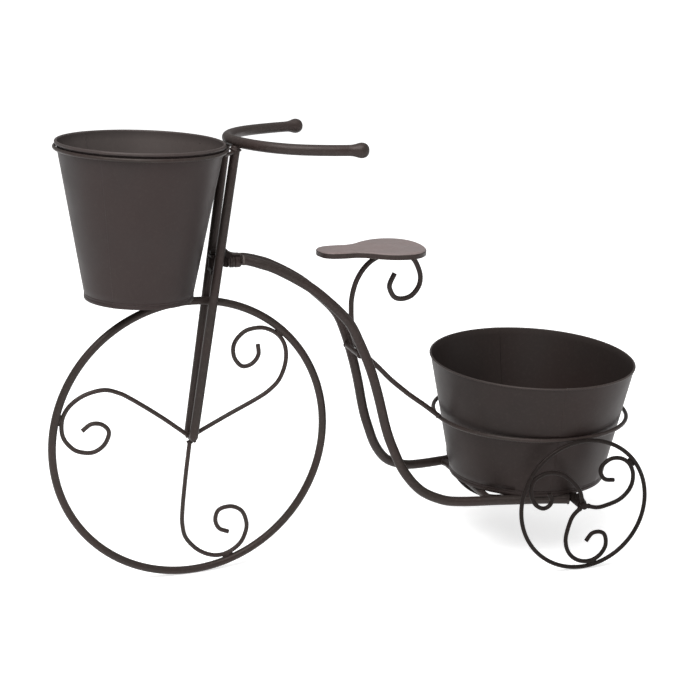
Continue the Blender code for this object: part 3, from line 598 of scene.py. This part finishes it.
# The eye round the bolt with its neck and threaded stud, then along the stud: washer, lock nut and boss
def buildKnuckle():
    size = steeringSizes
    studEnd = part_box("steering_eye")[1][0]
    half = size["eyeHeight"] / 2
    eye = ringSection(size["bolt"] + size["eyeGap"], size["eye"], -half, half, size["eyeEdge"])
    stud = np.linspace(pivot + lengthways * size["eye"] * 0.7, onStud(studEnd), 24)
    thread = size["stud"] * (1 - 0.035 * (np.arange(24) % 2))
    low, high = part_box("stud_washer")
    reach = low[0] - pivot[0] - touching
    neck = [(0.001, size["eye"] * 0.80), (size["neck"] * 0.76, size["eye"] * 0.86),
            (size["neck"] * 0.80, reach * 0.74), (size["neck"], reach * 0.90),
            (size["neck"], reach - 0.0004), (size["neck"] - 0.0005, reach), (0.001, reach)]
    makePiece("steeringEye", [turnedShape(eye, pivot, up, 56), rod(stud, thread, up, 28),
                              turnedShape(neck, pivot, lengthways, 44)], *shadedFrameLook, ["steering_eye"])
    makePiece("knuckleTongue", [bentStrip(size["tongue"], size["tongueHalf"], size["tongueThickness"])],
              *frameLook)
    # The web wears the darker copy of the frame paint, as painted shade under the tongue.
    makePiece("knuckleWeb", [bentStrip(size["tongue"], size["webHalf"], size["tongueThickness"] * 0.5,
                                       size["webFoot"])], *shadedFrameLook)
    washer = ringSection(size["stud"], size["washer"], 0, high[0] - low[0], size["washerEdge"])
    makePiece("studWasher", [turnedShape(washer, onStud(low[0]), lengthways, 56)], shadedFramePaint, "frame",
              "bolt_steel", ["stud_washer"])
    low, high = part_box("stud_lock_nut")
    disc, length = size["nut"], high[0] - low[0]
    shares = [(0.57, 0), (0.80, 0.02), (0.80, 0.22), (0.95, 0.24), (1.0, 0.30), (1.0, 0.57), (0.84, 0.60),
              (0.84, 0.65), (1.0, 0.68), (1.0, 0.94), (0.94, 1.0), (0.57, 1.0)]
    nut = [(disc * radius, length * place) for radius, place in shares]
    makePiece("studLockNut", [turnedShape(nut, onStud(low[0]), lengthways, 56)], boltPaint, "frame",
              "bolt_steel", ["stud_lock_nut"])
    low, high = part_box("frame_boss")
    length = high[0] - low[0]
    boss = [(size["stud"], 0), (size["boss"] - 0.0010, 0), (size["boss"], 0.0010),
            (size["boss"], length - 0.0026), (size["boss"] * 0.93, length - 0.0010),
            (size["boss"] * 0.78, length), (size["stud"], length)]
    makePiece("frameBoss", [turnedShape(boss, onStud(low[0]), lengthways, 48)], *frameLook, ["frame_boss"])


forkWelds = buildFork()
buildHandlebar()
buildSteering()
buildKnuckle()
print("fork, handlebar and knuckle built")


# Rails: shares of the length along, of the drop from the pivot and of the spread at the axle. The far rail
# is shifted back round one level, where it lies closer behind the near rail.
railSizes = {
    "radius": 0.0057, "level": 0.0791, "spread": 0.095, "farShift": 0.0021, "farLevel": 0.285,
    "farFade": 0.028, "endHighlight": 0.8, "sleeve": 0.006, "sleeveHalf": 0.012, "sleeveBore": 0.0044,
    "sleeveEdge": 0.0007,
    "run": [(0.0, 1.007, 0.074), (0.013, 1.006, 0.076), (0.03, 1.001, 0.091), (0.055, 0.991, 0.119),
            (0.098, 0.970, 0.148), (0.174, 0.915, 0.209), (0.233, 0.858, 0.241), (0.3105, 0.757, 0.294),
            (0.3495, 0.6615, 0.312), (0.3815, 0.556, 0.350), (0.4055, 0.446, 0.382), (0.4295, 0.311, 0.421),
            (0.451, 0.226, 0.452), (0.482, 0.133, 0.512), (0.529, 0.056, 0.604), (0.589, 0.016, 0.675),
            (0.651, 0.002, 0.722), (0.785, 0.0, 0.81), (0.913, 0.0, 0.916), (1.0, 0.0, 1.0)],
}
seatSizes = {
    "rod": 0.003, "front": 0.1896 - hubToMiddle, "reach": 0.111,
    "bend": [(0.864, 0.077), (0.687, 0.149), (0.571, 0.2015), (0.455, 0.257), (0.317, 0.334), (0.197, 0.397),
             (0.079, 0.4644), (0.026, 0.549), (0.004, 0.633), (0.0, 0.697), (0.001, 0.74), (0.019, 0.797),
             (0.053, 0.854), (0.113, 0.91), (0.188, 0.953), (0.274, 0.981), (0.373, 0.997), (0.463, 1.0),
             (0.562, 0.993), (0.668, 0.964), (0.727, 0.914), (0.759, 0.855), (0.742, 0.797), (0.662, 0.746),
             (0.551, 0.731), (0.467, 0.748), (0.419, 0.7985), (0.426, 0.832), (0.47, 0.881)],
}
saddleSizes = {
    "nose": 0.148 - hubToMiddle, "length": 0.1265, "halfWidth": 0.0445, "round": 0.0021, "crown": 0.0003,
    "lift": 0.0008, "heart": 0.60,
    "half": [(0.0, 0.0), (0.02, 0.26), (0.09, 0.43), (0.20, 0.48), (0.31, 0.47), (0.40, 0.56), (0.51, 0.80),
             (0.64, 0.98), (0.78, 1.0), (0.90, 0.83), (0.975, 0.48), (1.0, 0.0)],
    "shadeBand": [(0.0002, -0.0016), (0.0005, -0.0024), (0.0001, -0.0038), (0.0005, -0.0054), (0.0002, -0.0069),
            (-0.0006, -0.0074), (-0.0014, -0.0069), (-0.0016, -0.0042), (-0.0010, -0.0022)],
}


def buildRails():
    size = railSizes
    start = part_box("frame_boss")[1][0] + touching
    length = rearHub[0] - size["sleeve"] - start
    drop = pivot[2] - size["level"]
    run = np.array(size["run"])
    paths = []
    for name, side in bothSides:
        places = np.column_stack([start + run[:, 0] * length, side * run[:, 2] * size["spread"],
                                  size["level"] + run[:, 1] * drop])
        axleHere = rearHub[0] + side * size["spread"] * rearAcross[0] / rearAcross[1]
        places[-1, 0] = axleHere - size["sleeve"] - 2 * touching
        path = smoothLine(places, 8)
        if side > 0:
            away = (path[:, 2] - size["farLevel"]) / size["farFade"]
            path[:, 0] += size["farShift"] * np.exp(-away ** 2)
        paths.append(path)
        # Painted highlight: lighter paint on the first rows at the front end of each rail, where it catches
        # the light
        railEndHighlight = np.zeros(len(path) + 4)          # two more rows at each end, for the chamfers
        railEndHighlight[:4] = size["endHighlight"]
        makePiece(f"{name}Rail", [rod(path, size["radius"], sideways, 28, paintedHighlight=railEndHighlight[:, None])],
                  *frameLook, [f"rail_{name}"])
    return paths


crossSizes = {
    "bars": [("frontStrut", "front_strut", 0.0045), ("rearStrut", "rear_strut", 0.003),
             ("seatCrossBar", "seat_cross_bar", 0.003)],
    "intoRail": 0.002, "collarPlace": 0.975, "bead": (0.0072, 0.0042), "beadOut": 0.0035, "beadUp": 0.0055,
}


# Cross pieces run into the rails, with a collar of weld at each end, and each sleeve has a bead of weld on
# top. Beads and drops of weld are given by their half length and half width.
def buildCrossPieces():
    size = crossSizes
    for name, node, radius in size["bars"]:
        low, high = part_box(node)
        middle = middleOf(node)
        half = (high[1] - low[1]) / 2 + size["intoRail"]
        ends = np.array([middle - (0, half, 0), middle + (0, half, 0)])
        collars = [weldCollar(end * (1, size["collarPlace"], 1), ends[1] - ends[0], radius * 1.02,
                              radius * 0.20) for end in ends]
        makePiece(name, [rod(np.linspace(*ends, 9), radius, up), *collars], *frameLook, [node])
    half = railSizes["sleeveHalf"]
    outline = ringSection(railSizes["sleeveBore"], railSizes["sleeve"], -half, half, railSizes["sleeveEdge"])
    for name, side in bothSides:
        middle = middleOf(f"axle_sleeve_{name}")
        place = middle + size["beadOut"] * side * rearAcross + size["beadUp"] * up
        bead = weldDrop(place, rearAcross, *size["bead"])
        makePiece(f"{name}AxleSleeve", [turnedShape(outline, middle, rearAcross, 48), bead], *shadedFrameLook,
                  [f"axle_sleeve_{name}"])


# The seat rod starts at the rear hoop and curls under the saddle, which rests on its highest point
def buildSeat():
    size = seatSizes
    hoopMiddle = middleOf("rear_hoop")
    hoopLow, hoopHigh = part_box("rear_hoop")
    wire = (hoopHigh[2] - hoopLow[2]) / 2
    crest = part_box("saddle")[0][2] - touching - size["rod"]
    hoopFront = np.array([hoopLow[0] + wire, 0, hoopMiddle[2]])
    bend = np.array(size["bend"])
    places = np.column_stack([size["front"] + bend[:, 0] * size["reach"], np.zeros(len(bend)),
                              hoopMiddle[2] + bend[:, 1] * (crest - hoopMiddle[2])])
    down = unit(hoopFront - places[0])
    first = hoopFront - down * (wire + touching)
    path = smoothLine(np.vstack([first, places]), 8)
    seatRod = rod(path, size["rod"], sideways, 24, ends=(roundEnd, cutEnd))
    makePiece("seatRod", [seatRod], *frameLook, ["seat_rod"])
    return path


# Flat outlines stacked up, each at its own height
def stacked(outlines):
    return np.array([np.column_stack([flat, np.full(len(flat), level)]) for flat, level in outlines])


# Saddle: the outline is drawn in towards its heart by a profile that goes under, round the edge and over
# the top, so the plate has a full round edge and a slight crown. A band of the dark frame paint goes round
# below its edge, as painted shade on the saddle's side.
def buildSaddle():
    size = saddleSizes
    low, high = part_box("saddle")
    half = np.array(size["half"])
    outline = np.vstack([half, half[-2:0:-1] * (1, -1)])
    closed = smoothLine(np.vstack([outline[-2:], outline, outline[:2]]), 8)[16:-16]
    rim = np.column_stack([size["nose"] + closed[:, 0] * size["length"], closed[:, 1] * size["halfWidth"]])
    heart = np.array([size["nose"] + size["length"] * size["heart"], 0.0])
    top = high[2] + size["lift"]
    thickness = top - low[2]
    tangent = np.roll(rim, -1, 0) - np.roll(rim, 1, 0)
    outward = unit(np.column_stack([tangent[:, 1], -tangent[:, 0]]))
    outward *= np.sign((outward * (rim - heart)).sum(1).mean())
    turn = np.linspace(-math.pi / 2, math.pi / 2, 11)
    edge = [(rim - outward * size["round"] * (1 - math.cos(a)),
             low[2] + thickness / 2 + (thickness / 2 - size["round"]) * np.sign(math.sin(a))
             + size["round"] * math.sin(a)) for a in turn]
    under = [(heart + (edge[0][0] - heart) * share, low[2]) for share in (0.02, 0.3, 0.6, 0.85)]
    over = [(heart + (edge[-1][0] - heart) * share, top + size["crown"] * math.cos(share * math.pi / 2))
            for share in (0.93, 0.8, 0.6, 0.4, 0.2, 0.02)]
    makePiece("saddle", [surface(stacked(under + edge + over))], saddlePaint, "frame", "saddle_paint",
              ["saddle"])
    # Painted shade: a band of the dark frame paint round the saddle's side, below its light top
    shadeBand = [(rim + outward * out, top + level) for out, level in size["shadeBand"]]
    makePiece("saddleSideShade", [surface(stacked(shadeBand), closeRows=True)], framePaint, "frame", "saddle_paint")


railPaths = buildRails()
buildCrossPieces()
seatPath = buildSeat()
buildSaddle()
print("frame and seat built")


# Hoops, stays and the welds
hoopSizes = {"frontRadius": 0.0914, "frontWire": 0.002, "rearRadius": 0.1166, "rearWire": 0.0025,
             "stayWire": 0.002, "frontDrop": 0.0007, "rearDrop": 0.0007, "rearTilt": 0.0007}
weldSizes = {"stay": (0.0034, 0.0017), "stayCollar": 0.0008, "railCollar": 0.0011, "collarInRail": 0.0004,
             "seatRod": (0.0042, 0.0030), "seatRodForward": 0.0005, "boss": (0.0050, 0.0016),
             "bossPlace": (0.0012, 0, 0.004), "crest": (0.0150, 0.0026), "crestUp": 0.0018}


# Both hoops, the two stays from the fork legs, and the welds that join the rods of the steering and frame
def buildHoops():
    size, weld = hoopSizes, weldSizes
    frontMiddle = middleOf("front_hoop") - lean * size["frontDrop"]
    frontHoop = ringOf(frontMiddle, leanAlong, frontAcross, size["frontRadius"], size["frontWire"], 160)
    makePiece("frontHoop", [frontHoop], *steeringLook, ["front_hoop"])
    rearMiddle = middleOf("rear_hoop") - up * size["rearDrop"]
    tilted = unit(np.array([0, size["rearRadius"], size["rearTilt"]]))
    rearHoop = ringOf(rearMiddle, lengthways, tilted, size["rearRadius"], size["rearWire"], 180)
    makePiece("rearHoop", [rearHoop], *frameLook, ["rear_hoop"])
    welds = []
    for name, side in bothSides:
        low, high = (np.array(corner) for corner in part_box(f"hoop_stay_{name}"))
        middle = (low + high) / 2
        leg = onSteering(legMiddle(middle[2], side))[0]
        along = unit(middle - leg)
        reach = np.dot(middle - leg, along)
        path = np.linspace(leg, middle + along * (reach - forkSizes["leg"]), 8)
        makePiece(f"{name}HoopStay", [rod(path, size["stayWire"], up, 18)], *steeringLook,
                  [f"hoop_stay_{name}"])
        welds.append(weldDrop(path[-1] + up * size["stayWire"], np.cross(along, up), *weld["stay"],
                              phase=side))
        welds.append(weldCollar(leg + along * forkSizes["leg"], along, size["stayWire"] * 1.1,
                                weld["stayCollar"], phase=side))
    makePiece("steeringWelds", forkWelds + welds, *steeringLook)
    seatRodWeld = seatPath[0] - weld["seatRodForward"] * lengthways
    bossTop = railPaths[0][0] * (1, 0, 1) + weld["bossPlace"]
    frameWelds = [weldDrop(seatRodWeld, sideways, *weld["seatRod"], phase=1.3),
                  weldDrop(bossTop, lengthways, *weld["boss"], phase=2)]
    frameWelds += [weldCollar(path[-1] - weld["collarInRail"] * lengthways, path[-1] - path[-2],
                              railSizes["radius"] * 0.97, weld["railCollar"], phase=path[-1][1] * 50)
                   for path in railPaths]
    crest = seatPath[np.argmax(seatPath[:, 2])] + weld["crestUp"] * up
    frameWelds.append(weldDrop(crest, lengthways, *weld["crest"], ripple=0.06, beats=9))
    makePiece("frameWelds", frameWelds, *frameLook)


buildHoops()
print("hoops and welds built")


# Pots: one sheet wall. Its rim is rolled outwards, its foot has a folded seam, and it overlaps itself at
# upright lap seams, where it stands proud by the sheet's thickness.
frontPotSizes = {"height": 0.1678, "top": 0.0888, "topAcross": 0.0888, "bottom": 0.0580, "bead": 0.0026,
                 "rollAcross": 0.0016, "rollUp": 0.0021, "laps": [-133, 118], "rimDrop": 0, "rimTilt": 0,
                 "bulge": 0, "insideHighlight": 0.28}
rearPotSizes = {"height": 0.1427, "top": 0.1189, "topAcross": 0.1305, "bottom": 0.0926, "bead": 0.0023,
                "rollAcross": 0.00127, "rollUp": 0.0012, "laps": [-97, 83], "rimDrop": 0.0009,
                "rimTilt": 0.0017, "bulge": 0.0013, "insideHighlight": 0.03}
potSizes = {"wall": 0.0012, "seamHeight": 0.006, "seamProud": 0.0011, "lap": 0.0010, "lapStep": 0.2,
            "lapFade": 12, "bulgeAngle": -40, "bulgeSpread": 32, "beadHighlight": 0.16, "footDrop": 0.0011,
            "floorRise": 0.003, "floorThickness": 0.0015, "steps": 216}


# The wall is a closed section of (share of the way up, distance out, height) carried round the axis. The
# share leads from the round foot to the oval rim, which can sit lower, tilt and bulge on one side.
def potWall(size, base, along, across, axis):
    wall, seam, proud = potSizes["wall"], potSizes["seamHeight"], potSizes["seamProud"]
    half, bead, height = wall / 2, size["bead"], size["height"]
    wide, tall, drop = size["rollAcross"], size["rollUp"], potSizes["footDrop"]
    roll = np.radians(np.arange(180, -151, -15))
    rolled = [(1.0, wide - half + wide * math.cos(a), height + bead - tall + tall * math.sin(a))
              for a in roll]
    climb = np.linspace(0, 1, 22)
    outside = [(seam / height + (1 - seam / height) * s, half, seam + (height + bead - tall * 1.9 - seam) * s)
               for s in climb[::-1]]
    foot = [(0.0, half + proud * 0.75, seam - 0.0004), (0.0, half + proud, seam * 0.82),
            (0.0, half + proud, seam * 0.62), (0.0, half + proud * 0.62, seam * 0.52),
            (0.0, half + proud, seam * 0.42), (0.0, half + proud, seam * 0.12 - drop),
            (0.0, half + proud * 0.7, -drop), (0.0, -half, -drop)]
    inside = [(s, -half, 0.0008 + (height + bead - tall - 0.0012) * s) for s in climb]
    share, out, level = np.array(rolled + outside + foot + inside).T
    even = np.arange(potSizes["steps"]) * 360 / potSizes["steps"]
    close = np.array([-4, -2, -1, -0.4, 0.4, 1, 2, 4]) * potSizes["lapStep"]
    atLaps = [lap + step for lap in size["laps"] for step in close]
    turn = np.radians(np.unique(np.mod([*even, *atLaps], 360)))
    rim = size["top"] * size["topAcross"] / np.hypot(size["topAcross"] * np.cos(turn),
                                                     size["top"] * np.sin(turn))
    aside = (np.degrees(turn) - potSizes["bulgeAngle"] + 180) % 360 - 180
    rim = rim + size["bulge"] * np.exp(-(aside / potSizes["bulgeSpread"]) ** 2)
    lapped = np.zeros(len(turn))
    for lap in size["laps"]:
        past = (np.degrees(turn) - lap + 180) % 360 - 180
        lapped = np.maximum(lapped, np.clip(past / potSizes["lapStep"] + 0.5, 0, 1)
                            * np.clip(1 - past / potSizes["lapFade"], 0, 1))
    radius = size["bottom"] + (rim - size["bottom"])[None] * share[:, None] + out[:, None]
    radius = radius + potSizes["lap"] * lapped[None] * np.where(out[:, None] > 0, 0.5, -1)
    beadRows = level > height + bead - tall * 1.5
    level = level[:, None] + share[:, None] * (size["rimTilt"] * np.sin(turn) - size["rimDrop"])[None]
    grid = (base + radius[..., None] * (np.cos(turn)[:, None] * along + np.sin(turn)[:, None] * across)[None]
            + level[..., None] * axis)
    # Painted highlight: lighter paint along the rolled bead, and on the inside wall that faces the light
    paintedHighlight = np.where(beadRows, potSizes["beadHighlight"], np.where(out < 0, size["insideHighlight"], 0.0))[:, None]
    return surface(grid, closeRows=True, paintedHighlight=paintedHighlight)


# The floor is a disc with an upturned edge and a faint step inside it
def potFloor(size, base, axis):
    radius = size["bottom"] - potSizes["wall"] / 2 - touching
    rise, thick = potSizes["floorRise"], potSizes["floorThickness"]
    profile = [(0.0005, rise), (radius, rise), (radius, rise + thick * 2.2),
               (radius - 0.0012, rise + thick * 2.2), (radius - 0.0024, rise + thick),
               (radius * 0.93, rise + thick), (radius * 0.90, rise + thick + 0.0004),
               (radius * 0.5, rise + thick + 0.0003), (0.0005, rise + thick + 0.0002)]
    return turnedShape(profile, base, axis, 120)


def buildPots():
    for name, body, size, look, (axis, along, across) in (
            ("frontPot", "front_pot", frontPotSizes, frontPotPaint, (lean, leanAlong, frontAcross)),
            ("rearPot", "rear_pot", rearPotSizes, rearPotPaint, (up, lengthways, sideways))):
        base = middleOf(body + "_floor") - axis * (potSizes["floorRise"] + potSizes["floorThickness"] / 2)
        makePiece(name + "Wall", [potWall(size, base, along, across, axis)], look, body, "pot_paint",
                  [body + "_wall"], sharp=50)
        makePiece(name + "Floor", [potFloor(size, base, axis)], look, body, "pot_paint", [body + "_floor"])


buildPots()
print("pots built")


# Floor, light and camera. The floor glows for the camera and in reflections, less so near the object, where
# its shadow has to show; the room is white to the camera and dimmer as a light.
floorSizes = {"reach": 30.0, "colour": (0.86, 0.86, 0.86, 1), "near": 0.4, "far": 1.4, "nearGlow": 0.62,
              "farGlow": 0.80}
roomLight = 0.36
softboxes = [("keySoftbox", (-0.70, -0.85, 2.05), 1.5, 50), ("overheadSoftbox", (0.1, 0.5, 2.3), 2.0, 8),
             ("frontSoftbox", (-1.4, -2.4, 1.5), 1.6, 4), ("rightSoftbox", (2.2, -0.6, 1.2), 1.4, 6)]
lampAim = np.array([0.0, 0.0, 0.25])
viewSizes = {"azimuth": -19.34, "elevation": 15.52, "roll": 1.10, "focal": 85.29,
             "place": (-0.4233 - hubToMiddle, -1.7449, 0.7673)}


# One for rays from the camera and for one other kind of ray, and zero for the rest
def seenBy(tree, otherKind):
    rays = tree.nodes.new("ShaderNodeLightPath").outputs
    return mathOf(tree, "MAXIMUM", rays["Is Camera Ray"], rays[otherKind])


def buildFloor():
    size = floorSizes
    mesh = bpy.data.meshes.new("paleFloor")
    reach = size["reach"]
    mesh.from_pydata([(-reach, -reach, 0), (reach, -reach, 0), (reach, reach, 0), (-reach, reach, 0)], [],
                     [(0, 1, 2, 3)])
    addObject("paleFloor", mesh)
    look = bpy.data.materials.new("paleFloor")
    look.use_nodes = True
    tree = look.node_tree
    tree.nodes.clear()
    place = tree.nodes.new("ShaderNodeTexCoord").outputs["Object"]
    distance = addNode(tree, "ShaderNodeVectorMath", {0: place}, operation="LENGTH").outputs["Value"]
    rise = mapRange(tree, distance, size["near"], size["far"], size["nearGlow"], size["farGlow"],
                    interpolation_type="SMOOTHSTEP")
    strength = mathOf(tree, "MULTIPLY", seenBy(tree, "Is Glossy Ray"), rise)
    glow = addNode(tree, "ShaderNodeEmission", {"Strength": strength})
    matt = addNode(tree, "ShaderNodeBsdfDiffuse", {"Color": size["colour"]})
    both = addNode(tree, "ShaderNodeAddShader", {0: matt.outputs[0], 1: glow.outputs[0]})
    addNode(tree, "ShaderNodeOutputMaterial", {"Surface": both.outputs[0]})
    mesh.materials.append(look)


# Adds a lamp or camera, given the directions of its right, its top and its back
def placed(name, data, place, *facing):
    made = addObject(name, data)
    made.matrix_world = Matrix([*np.column_stack([*facing, place]).tolist(), (0, 0, 0, 1)])
    return made


def buildLight():
    world = bpy.data.worlds.new("paleRoom")
    bpy.context.scene.world = world
    world.use_nodes = True
    tree = world.node_tree
    strength = mapRange(tree, seenBy(tree, "Is Transmission Ray"), 0, 1, roomLight, 1)
    fill(tree, tree.nodes["Background"], {"Strength": strength, "Color": (1, 1, 1, 1)})
    for name, place, size, power in softboxes:
        lamp = bpy.data.lights.new(name, "AREA")
        lamp.shape = "SQUARE"
        lamp.size = size
        lamp.energy = power
        aim = unit(lampAim - np.array(place))
        aside = unit(np.cross(aim, up + (0.001, 0, 0)))
        placed(name, lamp, place, aside, np.cross(aside, aim), -aim)


def buildCamera():
    size = viewSizes
    azimuth, elevation, roll = (math.radians(size[key]) for key in ("azimuth", "elevation", "roll"))
    back = np.array([math.sin(azimuth) * math.cos(elevation), -math.cos(azimuth) * math.cos(elevation),
                     math.sin(elevation)])
    right = np.array([math.cos(azimuth), math.sin(azimuth), 0])
    above = np.cross(back, right)
    tiltedRight = right * math.cos(roll) + above * math.sin(roll)
    tiltedUp = above * math.cos(roll) - right * math.sin(roll)
    data = bpy.data.cameras.new("photographer")
    data.lens = size["focal"]
    data.sensor_width = 36
    bpy.context.scene.camera = placed("photographer", data, size["place"], tiltedRight, tiltedUp, back)


buildFloor()
buildLight()
buildCamera()
bpy.context.scene.view_settings.view_transform = "Standard"
print("floor, light and camera set")
